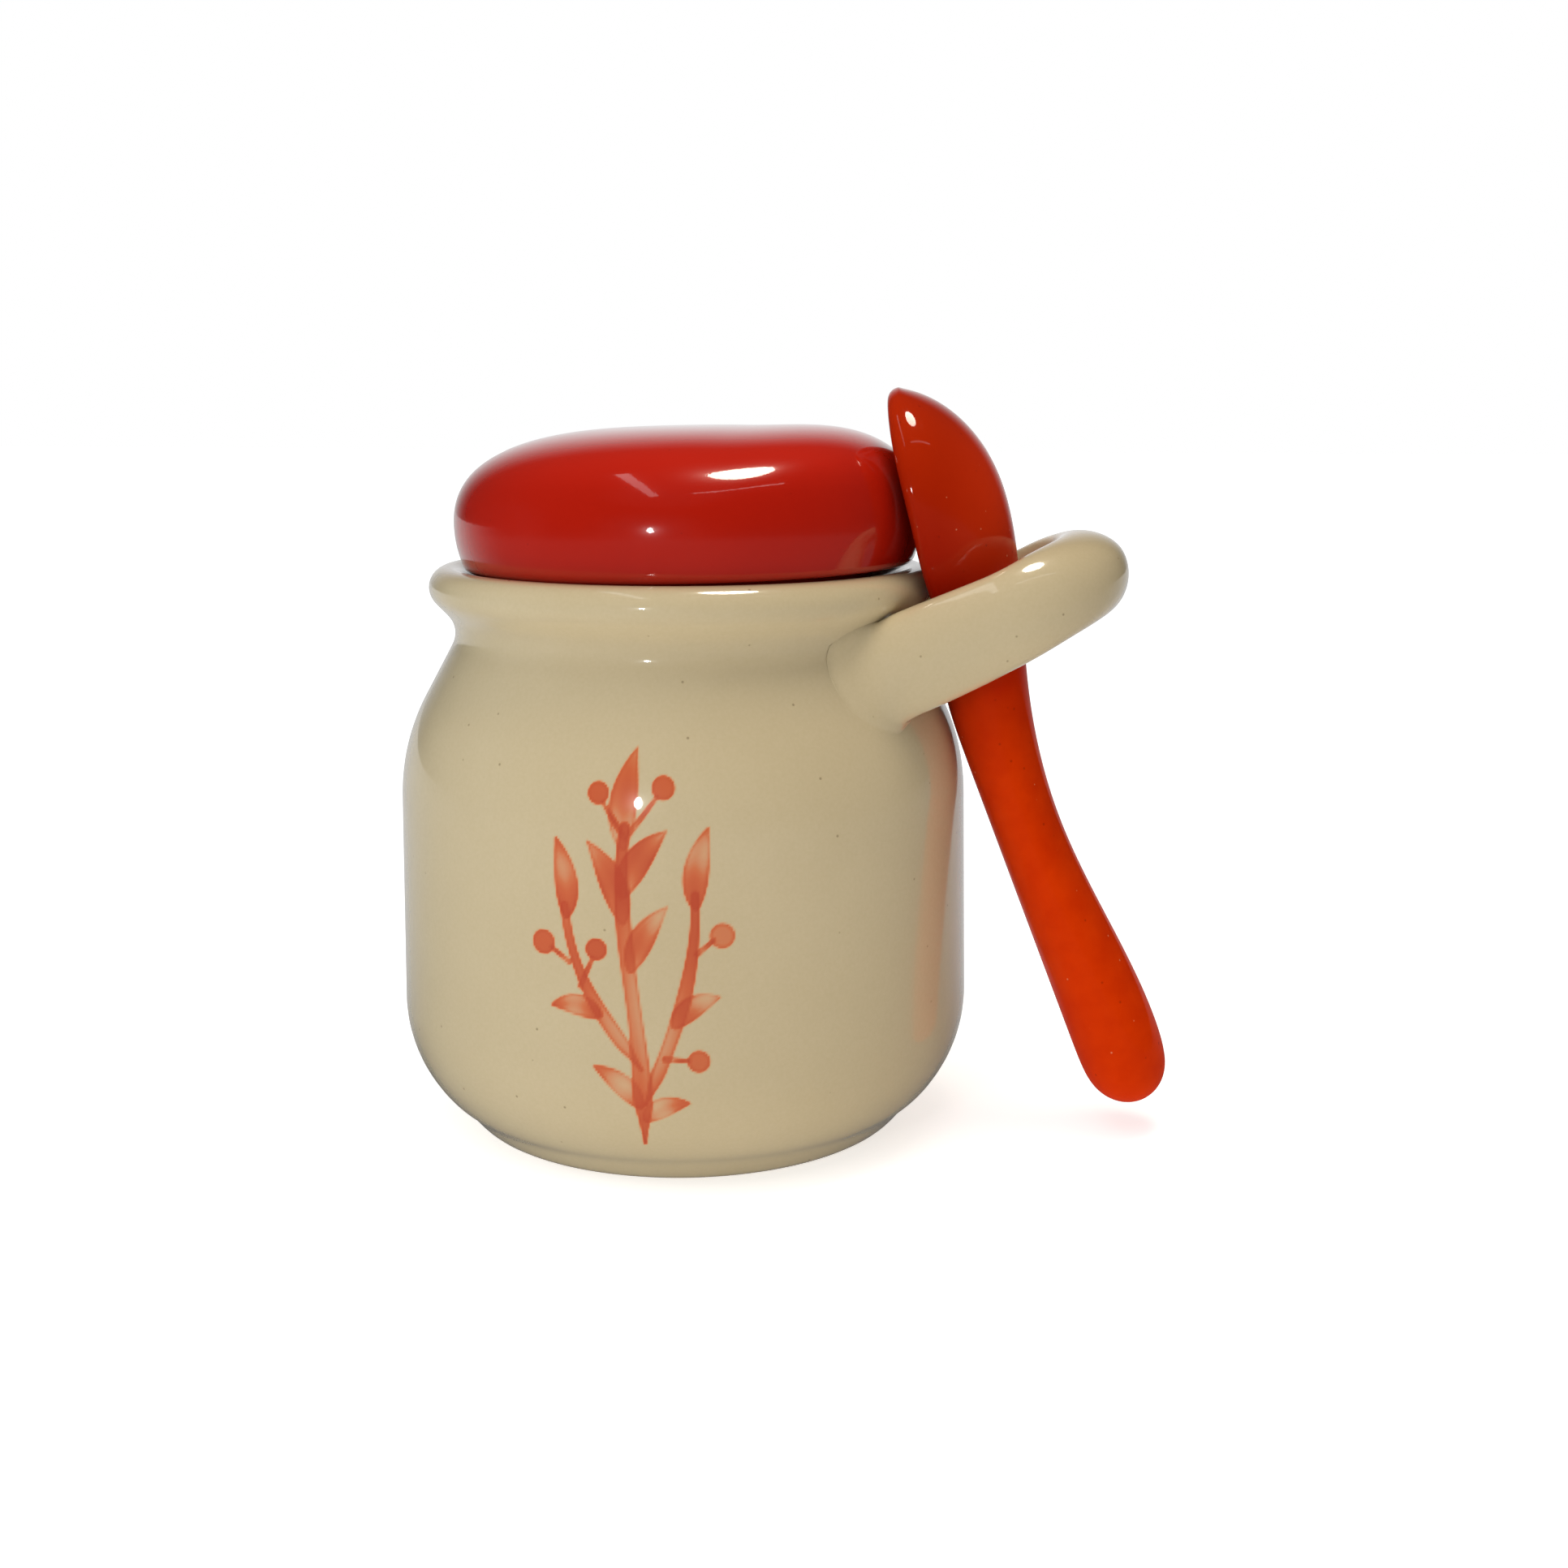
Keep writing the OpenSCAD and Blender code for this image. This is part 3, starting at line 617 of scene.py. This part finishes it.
def makeLoop():
    slope, lean = math.radians(loop["slopeDeg"]), math.radians(loop["leanDeg"])
    start = np.array([pot["neckR"], 0, pot["height"] - pot["neckDrop"] - loop["drop"]])
    uAxis = np.array([math.cos(slope), 0, math.sin(slope)])
    upAxis = np.array([-math.sin(slope), 0, math.cos(slope)])
    yAxis = np.array([0, 1.0, 0])
    rootY = (loop["rootWide"] - loop["thick"]) / 2
    turn = np.linspace(0, 2 * math.pi, loop["sides"], endpoint=False)
    flat, upright = np.cos(turn) * loop["thick"] / 2, np.sin(turn) / 2

    # the strands lean together and run without a break into a round bend
    def lineY(u):
        return -(rootY - (u - loop["rootU"]) * math.tan(lean))

    endU = loop["out"] - loop["thick"] / 2
    bendR = -lineY(endU) * math.cos(lean) / (1 - math.sin(lean))
    centreU = endU - bendR
    bendU = centreU + bendR * math.sin(lean)

    # one section of the strap; u may differ from side to side, bend is the angle turned through
    def section(u, y, bend):
        raised = loop["noseRise"] * ramp(u, *loop["noseOver"])
        tall = loop["rootH"] + (loop["endH"] - loop["rootH"]) * ease(u / loop["out"]) + raised
        sag = loop["sag"] * np.sin(math.pi * np.clip(u / loop["out"], 0, 1))
        sag = sag + loop["droop"] * ramp(u, *loop["droopOver"]) - raised / 2
        topTuck, lowTuck = loop["tuck"]
        back = topTuck * np.maximum(0, 2 * upright) ** 2 + lowTuck * np.maximum(0, -2 * upright) ** 2
        tucked = u + flat * math.sin(bend) - back * ramp(u, *loop["tuckOver"])
        return (start + np.outer(tucked, uAxis) + np.outer(y - flat * math.cos(bend), yAxis)
                + np.outer(upright * tall - sag, upAxis))

    def strand(u):
        return section(u, lineY(u), lean)

    # where each line along the strand comes out of the wall
    steps = np.linspace(loop["probeFrom"], bendU, loop["probes"])
    over = np.array([overWall(strand(u)) for u in steps])
    last = np.array([np.flatnonzero(column <= 0).max() for column in over.T])
    sides = np.arange(loop["sides"])
    share = over[last, sides] / (over[last, sides] - over[last + 1, sides])
    hitU = steps[last] + share * (steps[1] - steps[0])
    hit = strand(hitU)
    normal = potNormal(hit)
    outward = hit - hit.mean(axis=0)
    outward -= (outward * normal).sum(axis=1, keepdims=True) * normal
    outward /= np.linalg.norm(outward, axis=1, keepdims=True)
    # how far each side belongs to the outer side, the top, below and the inner side
    pull = np.c_[np.maximum(0, np.cos(turn)), np.maximum(0, np.sin(turn)) ** 2,
                 np.maximum(0, -np.sin(turn)) ** 2, np.maximum(0, -np.cos(turn))]
    reach, rise = [pull @ loop[key] / pull.sum(axis=1) for key in ("skirt", "swell")]
    controls = []
    for part, lift in loop["thumb"]:
        p = ontoWall(hit + outward * (part * reach)[:, None])
        controls.append(p + potNormal(p) * (lift * rise)[:, None])
    # then out along the strap
    leaveU = np.minimum(hitU + loop["leave"], bendU - loop["leaveRoom"])
    controls += [strand(leaveU + i * loop["leaveStep"]) for i in range(3)]
    rings = softCurve(controls, loop["rootRings"])
    firstU = leaveU + loop["leaveStep"]
    for t in np.linspace(0, 1, loop["strandRings"] + 1)[1:]:
        rings.append(strand(firstU + (bendU - leaveU - loop["leaveStep"]) * t))
    # even out the root crosswise, as a wet finger does
    rings = np.array(rings)
    root = rings[:loop["wetRings"]]
    for _ in range(loop["wetStrokes"]):
        root[:] = (np.roll(root, 1, axis=1) + 2 * root + np.roll(root, -1, axis=1)) / 4
    angles = np.linspace(lean, math.pi - lean, loop["bendRings"] + 2)[1:-1]
    bends = [section(centreU + bendR * math.sin(b), -bendR * math.cos(b), b) for b in angles]
    # the far strand mirrors the near one; its sides keep their order, because the bend turns them round
    rings = np.r_[rings, bends, rings[::-1] * [1, -1, 1]]
    lifts = zip(loop["farLift"], loop["farFrom"])
    lift = sum(high * ramp(rings[..., 0], fromX, loop["farLength"]) for high, fromX in lifts)
    rings[..., 2] += lift * ramp(rings[..., 1], *loop["farSide"])
    points, faces = ringMesh(rings, rings[0].mean(axis=0), rings[-1].mean(axis=0))
    addPiece("spoonLoop", points, faces, "pot", ["spoon_loop"], [creamGlaze])


makeLoop()


# lid: bun shape with a locating flange, a little off the middle so that it rides up on the loop's side
lid = {
    "radius": 34.25, "height": 20.1, "belly": 6.6, "baseR": 33.3, "edgeRound": 1.2, "crownOut": 3.0,
    "crownUp": 2.35, "wall": 4, "flangeH": 5, "flangeT": 3.5, "flangePlay": 1.4, "seatGap": 0.35, "shift": 1,
    # shaped by hand: a little higher all over, and fuller on the loop's side, along a ramp in x
    "higher": 0.2, "fuller": 1.45, "fullFrom": (8, 20), "fullUp": 0.6,
    "softness": 0.35, "bareHigh": 1.2, "rowStep": 0.5, "turns": 160, "crownSteps": 200}


def makeLid():
    rimC = (pot["rimR"] - pot["rimRound"], pot["height"] - pot["rimRound"])
    edgeR = lid["baseR"] - lid["edgeRound"]
    reach = pot["rimRound"] + lid["edgeRound"] + lid["seatGap"]

    # height of the lid's edge over the rim when it lies so far off the middle
    def seatRise(shift):
        return math.sqrt(reach ** 2 - (rimC[0] - edgeR - shift) ** 2)

    edgeZ = rimC[1] + seatRise(0)
    tilt = math.atan((seatRise(lid["shift"]) - seatRise(-lid["shift"])) / (2 * edgeR))
    base = edgeZ - lid["edgeRound"]
    flangeR = pot["neckR"] - pot["wall"] - lid["flangePlay"]
    flangeIn, flangeZ = flangeR - lid["flangeT"], base - lid["flangeH"]
    sideIn, sideRise = lid["radius"] - lid["baseR"], lid["belly"] - lid["edgeRound"]
    sideRound = (sideIn ** 2 + sideRise ** 2) / (2 * sideIn)
    sideTurn = math.degrees(math.asin(sideRise / sideRound))
    turn = np.radians(np.linspace(0, 90, lid["crownSteps"]))

    def crownLine(r, h, z):
        return np.c_[r * np.cos(turn) ** (2 / lid["crownOut"]), z + h * np.sin(turn) ** (2 / lid["crownUp"])]

    outline = np.r_[
        crownLine(flangeIn, lid["height"] - lid["wall"], base)[::-1],
        [[flangeIn, flangeZ], [flangeR, flangeZ], [flangeR, base]],
        arcPoints((edgeR, base + lid["edgeRound"]), lid["edgeRound"], -90, 0),
        arcPoints((lid["radius"] - sideRound, base + lid["belly"]), sideRound, -sideTurn, 0),
        crownLine(lid["radius"], lid["height"] - lid["belly"], base + lid["belly"])]
    outline[0, 0] = outline[-1, 0] = 0
    outline = thinOut(glazeSoft(outline, lid["softness"]), lambda p: lid["rowStep"])
    points, faces = turnedMesh(outline, np.linspace(0, 2 * math.pi, lid["turns"], endpoint=False))
    bare = faceMeans(points[:, 2], faces) < flangeZ + lid["bareHigh"]
    crownPart = (points[:, 2] - base - lid["belly"]) / (lid["height"] - lid["belly"])
    fuller = lid["higher"] + lid["fuller"] * ramp(points[:, 0], *lid["fullFrom"])
    points[:, 2] += fuller * ramp(crownPart, 0, lid["fullUp"])
    # lean and place it as it sits
    x, y, z = (points - [0, 0, edgeZ]).T
    points = np.c_[x * math.cos(tilt) - z * math.sin(tilt) + lid["shift"], y,
                   x * math.sin(tilt) + z * math.cos(tilt) + edgeZ]
    addPiece("bunLid", points, faces, "lid", ["lid"], [redGlaze, bareClay], bare)


makeLid()


# spoon: deep oval bowl with a rounded lip, a neck that rises out of it, and a handle that swells to its end
spoon = {
    "length": 111, "leanDeg": 15, "tipX": 29.262, "tipZ": 108.9, "tipRound": 1.3,
    "bowlW": 29.8, "bowlBack": 14, "bowlMid": 19.4, "bowlFloor": 4, "wideAt": 15,
    "backFlat": 1.18, "backFrom": 0.4,
    # the lip lies a little behind the straight line from tip to neck
    "lip": 2.8, "lipSet": 0.85, "lipSetTo": (20, 10), "tipSet": 0.25, "tipSetTo": (0, 8),
    "leastOpening": 0.12, "leastThick": 0.06,
    "neckAt": 46, "stemW": 13, "stemRise": 2, "stemBack": 9.5,
    "handleW": 15, "handleT": 12.6, "handleSet": 4.5,
    # parts of the way to the neck: the stem rises, the hollow ends, the back is thinnest from and to
    "riseFrom": 0.56, "hollowTo": 0.8, "thinFrom": 1.2, "thinTo": 1.3,
    "rings": 150, "halfSteps": 22, "lipSteps": 8, "sponging": 40, "keptRings": 24}


def makeSpoon():
    s = spoon
    endR = s["handleT"] / 2
    handleFrom = s["length"] - endR
    handleLong = handleFrom - s["neckAt"]
    riseFrom, hollowTo, thinFrom, thinTo = [
        s["neckAt"] * s[key] for key in ("riseFrom", "hollowTo", "thinFrom", "thinTo")]
    lean = math.radians(s["leanDeg"])
    quarter = np.radians(np.linspace(0, 90, s["halfSteps"] + 1))

    # w is the way from the tip along the spoon
    def roundEnd(w):
        return 1 if w < handleFrom else dome((s["length"] - w) / endR)

    def halfWidth(w):
        stem = s["stemW"] / 2 + (s["handleW"] - s["stemW"]) / 2 * ramp(w, s["neckAt"], handleLong)
        bowl = s["bowlW"] / 2 * dome(w / s["wideAt"])
        return (bowl + (stem - bowl) * ramp(w, s["wideAt"], s["neckAt"] - s["wideAt"])) * roundEnd(w)

    def setBack(w):
        return s["lipSet"] * (1 - ramp(w, *s["lipSetTo"])) + s["tipSet"] * (1 - ramp(w, *s["tipSetTo"]))

    def back(w):
        if w < s["bowlMid"]:
            deep = dome((w + s["backFrom"]) / (s["bowlMid"] + s["backFrom"])) ** s["backFlat"]
            return max(s["tipRound"] + setBack(w), s["bowlBack"] * deep)
        if w < thinFrom:
            thinner = s["stemBack"] - s["bowlBack"]
            return s["bowlBack"] + thinner * ramp(w, s["bowlMid"], thinFrom - s["bowlMid"])
        thicker = s["handleSet"] + s["handleT"] - s["stemBack"]
        return s["stemBack"] + thicker * ramp(w, thinTo, handleFrom - thinTo)

    def front(w):
        return s["stemRise"] - (s["stemRise"] + s["handleSet"]) * (w - s["neckAt"]) / handleLong

    def hollow(w):
        deep = s["bowlBack"] - s["bowlFloor"] - s["lip"] / 2 - setBack(w)
        if w < s["bowlMid"]:
            return deep * dome((w - s["lip"]) / (s["bowlMid"] - s["lip"]))
        return deep * (1 - ramp(w, s["bowlMid"], hollowTo - s["bowlMid"]))

    # half a section, from the middle of the back round to the middle of the front: side, height
    def bowlHalf(w):
        half = halfWidth(w)
        opening = max(half - s["lip"], half * s["leastOpening"])
        lip = (half - opening) / 2
        # the lip falls away in a blunt round at the tip
        blunt = s["tipRound"] - math.sqrt(s["tipRound"] ** 2 - max(0, s["tipRound"] - w) ** 2)
        edge = -lip - blunt - setBack(w)
        over = np.radians(np.linspace(0, 180, s["lipSteps"] + 1))[1:]
        deep = max(s["leastThick"], back(w) + edge)
        return np.r_[np.c_[half * np.sin(quarter), edge - deep * np.cos(quarter)],
                     np.c_[half - lip + lip * np.cos(over), edge + lip * np.sin(over)],
                     np.c_[opening * np.cos(quarter[1:]), edge - hollow(w) * np.sin(quarter[1:])]]

    def handleHalf(w):
        half = halfWidth(w)
        middle, deep = (front(w) - back(w)) / 2, (front(w) + back(w)) / 2 * roundEnd(w)
        over = np.radians(np.linspace(0, 90, s["halfSteps"] + s["lipSteps"] + 1))[1:]
        return np.r_[np.c_[half * np.sin(quarter), middle - deep * np.cos(quarter)],
                     np.c_[half * np.cos(over), middle + deep * np.sin(over)]]

    def place(w, side, height):
        return np.stack([s["tipX"] + w * math.sin(lean) - height * math.cos(lean), side + 0 * height,
                         s["tipZ"] - w * math.cos(lean) - height * math.sin(lean)], axis=-1)

    along = s["length"] * (1 - np.cos(np.pi * np.arange(1, s["rings"] + 1) / (s["rings"] + 1))) / 2
    halves = []
    for w in along:
        rise = ramp(w, riseFrom, s["neckAt"] - riseFrom)
        halves.append(bowlHalf(w) * (1 - rise) + handleHalf(w) * rise)
    halves = np.array(halves)
    # even out the curves along the length, as sponging does, but keep both ends
    fromEnd = np.minimum(np.arange(1, s["rings"] - 1), np.arange(s["rings"] - 2, 0, -1))
    share = np.clip(fromEnd / s["keptRings"], 0, 1)[:, None, None]
    for _ in range(s["sponging"]):
        middle = (halves[:-2] + 2 * halves[1:-1] + halves[2:]) / 4
        halves[1:-1] += (middle - halves[1:-1]) * share
    rings = []
    for w, half in zip(along, halves):
        ring = np.r_[half, half[-2:0:-1] * [-1, 1]]
        rings.append(place(w, ring[:, 0], ring[:, 1]))
    tip = place(0.0, 0.0, -s["tipRound"] - setBack(0))
    end = place(s["length"], 0.0, (front(s["length"]) - back(s["length"])) / 2)
    points, faces = ringMesh(rings, tip, end)
    addPiece("jamSpoon", points, faces, "spoon", ["spoon"], [orangeGlaze])


makeSpoon()


behindPot = (-0.17, 0.985, 0)  # the way from the camera past the pot
# pale floor: a matt white sheet that shows as white to the eye and still takes the shadow, and that also
# glows a little to diffuse rays, a painted bounce light on the pot from below;
# in the glaze it is white behind the pot and falls off to the dim room in front
floor = {"half": 3000, "sheet": "F2F2F2", "glow": (0.62, 1.0), "glowOver": (120, 500), "paintedBounce": 0.34,
         "mirror": (0.13, 0.03), "mirrorOver": (500, 1100), "mirrorBehind": 0.58, "turnOver": (0.06, 0.95)}


def makeFloor():
    material, tree = newMaterial("whitePaperSweep")
    material.cycles.emission_sampling = "NONE"  # only the rays named below see its glow
    rays = addNode(tree, "ShaderNodeLightPath").outputs
    place = addNode(tree, "ShaderNodeTexCoord").outputs["Object"]
    away = addVectorMaths(tree, "LENGTH", "Value", place)
    toward = addVectorMaths(tree, "NORMALIZE", "Vector", place)
    facing = addVectorMaths(tree, "DOT_PRODUCT", "Value", toward, behindPot)
    glow = addRange(tree, away, metres(*floor["glowOver"]), floor["glow"], smooth=True)
    # painted bounce light: the sheet glows to diffuse rays, so it lights the pot from below whatever shade
    # falls on it
    paintedBounceGlow = addMaths(tree, "MULTIPLY", rays["Is Diffuse Ray"], floor["paintedBounce"])
    sheet = addNode(tree, "ShaderNodeBsdfPrincipled", {
        "Base Color": toLinear(floor["sheet"]), "Roughness": 1.0, "Specular IOR Level": 0.0,
        "Emission Color": (1, 1, 1, 1),
        "Emission Strength": addMaths(tree, "MULTIPLY_ADD", rays["Is Camera Ray"], glow, paintedBounceGlow)})
    behind = addRange(tree, facing, floor["turnOver"], smooth=True)
    dimmed = addRange(tree, away, metres(*floor["mirrorOver"]), floor["mirror"], smooth=True)
    level = mixNumbers(tree, behind, dimmed, floor["mirrorBehind"])
    mirrored = addNode(tree, "ShaderNodeEmission", {"Color": (1, 1, 1, 1), "Strength": level})
    inGlaze = addMaths(tree, "MAXIMUM", rays["Is Glossy Ray"], rays["Is Transmission Ray"])
    either = addNode(tree, "ShaderNodeMixShader", {
        0: inGlaze, 1: sheet.outputs["BSDF"], 2: mirrored.outputs["Emission"]})
    addNode(tree, "ShaderNodeOutputMaterial", {"Surface": either.outputs["Shader"]})
    half = floor["half"] * mm
    mesh = bpy.data.meshes.new("floor")
    corners = [(-half, -half, 0), (half, -half, 0), (half, half, 0), (-half, half, 0)]
    mesh.from_pydata(corners, [], [(0, 1, 2, 3)])
    mesh.materials.append(material)
    sheetObject = bpy.data.objects.new("floor", mesh)
    bpy.context.scene.collection.objects.link(sheetObject)


makeFloor()
print("floor laid")


# a white backdrop low behind the pot, a dim room in front, and lamps: one overhead, one small near the
# camera, ceiling tubes to both sides, and four large soft fills that light the matt colour but are out of
# the glaze's sight
backdrop = {"from": 0.72, "fall": 1.7, "white": 0.8, "room": 0.02, "softBehind": 0.53}
# place and aim in millimetres, direction of the lamp's length, its size, shape, watts and tint, and whether
# it is seen in the glaze and lights the colour
lamps = [
    {"name": "overhead", "place": (70, -2, 430), "aim": (13, -28, 98), "along": (0.25, -0.97, 0),
     "size": (130, 95), "round": True, "watts": 0.74, "tint": "FFF2E0", "inGlaze": True, "onColour": False},
    {"name": "nearCamera", "place": (-20, -245, 97), "aim": (2, -41, 70), "along": (0, 0, 1),
     "size": (21, 11), "round": True, "watts": 0.05, "tint": "FFFFFF", "inGlaze": True, "onColour": True},
    {"name": "leftTube", "place": (-85, -122, 431), "aim": (-2, -31, 98), "along": (66, -295, 0),
     "size": (302, 26), "round": False, "watts": 0.045, "tint": "FFFFFF", "inGlaze": True, "onColour": True},
    {"name": "rightTube", "place": (153, -170, 426), "aim": (13, -30, 96), "along": (202, 116, 0),
     "size": (233, 12), "round": False, "watts": 0.02, "tint": "FFFFFF", "inGlaze": True, "onColour": True},
    {"name": "topFill", "place": (70, -2, 430), "aim": (13, -28, 98), "along": (1, 0, 0),
     "size": (220, 220), "round": True, "watts": 0.72, "tint": "FFF2E0", "inGlaze": False, "onColour": True},
    {"name": "highFill", "place": (-20, -260, 440), "aim": (0, 0, 70), "along": (1, 0, 0),
     "size": (360, 360), "round": True, "watts": 0.57, "tint": "FFFFFF", "inGlaze": False, "onColour": True},
    {"name": "frontFill", "place": (-60, -480, 60), "aim": (0, 0, 45), "along": (1, 0, 0),
     "size": (420, 420), "round": True, "watts": 0.58, "tint": "FFFFFF", "inGlaze": False, "onColour": True},
    {"name": "leftFill", "place": (-480, -60, 80), "aim": (0, 0, 45), "along": (0, 1, 0),
     "size": (420, 420), "round": True, "watts": 0.94, "tint": "D8E9FF", "inGlaze": False, "onColour": True}]


def makeBackdrop():
    world = bpy.data.worlds.new("whiteBackdrop")
    bpy.context.scene.world = world
    world.use_nodes = True
    world.cycles.sampling_method = "NONE"  # each kind of ray meets its own level
    tree = world.node_tree
    tree.nodes.clear()
    rays = addNode(tree, "ShaderNodeLightPath").outputs
    direction = addNode(tree, "ShaderNodeTexCoord").outputs["Generated"]
    facing = addVectorMaths(tree, "DOT_PRODUCT", "Value", direction, behindPot)
    faded = addMaths(tree, "POWER", addRange(tree, facing, (backdrop["from"], 1.0)), backdrop["fall"])
    level = addRange(tree, faded, result=(backdrop["room"], backdrop["white"]))
    soft = addRange(tree, facing, (-1.0, 1.0), (0.0, backdrop["softBehind"]))
    lit = mixNumbers(tree, rays["Is Diffuse Ray"], level, soft)
    strength = mixNumbers(tree, rays["Is Camera Ray"], lit, 1.0)
    light = addNode(tree, "ShaderNodeBackground", {"Color": (1, 1, 1, 1), "Strength": strength})
    addNode(tree, "ShaderNodeOutputWorld", {"Surface": light.outputs["Background"]})


def makeLamp(lamp):
    data = bpy.data.lights.new(lamp["name"], "AREA")
    data.shape = "ELLIPSE" if lamp["round"] else "RECTANGLE"
    data.size, data.size_y = metres(*lamp["size"])
    data.energy = lamp["watts"]
    data.color = toLinear(lamp["tint"])[:3]
    away = (Vector(lamp["place"]) - Vector(lamp["aim"])).normalized()
    along = Vector(lamp["along"])
    along = (along - along.dot(away) * away).normalized()
    turn = Matrix((along, away.cross(along), away)).transposed().to_4x4()
    thing = bpy.data.objects.new(lamp["name"], data)
    thing.matrix_world = Matrix.Translation(Vector(lamp["place"]) * mm) @ turn
    thing.visible_glossy, thing.visible_diffuse = lamp["inGlaze"], lamp["onColour"]
    bpy.context.scene.collection.objects.link(thing)


makeBackdrop()
for lamp in lamps:
    makeLamp(lamp)
bpy.context.scene.view_settings.view_transform = "Standard"
print("lights placed")
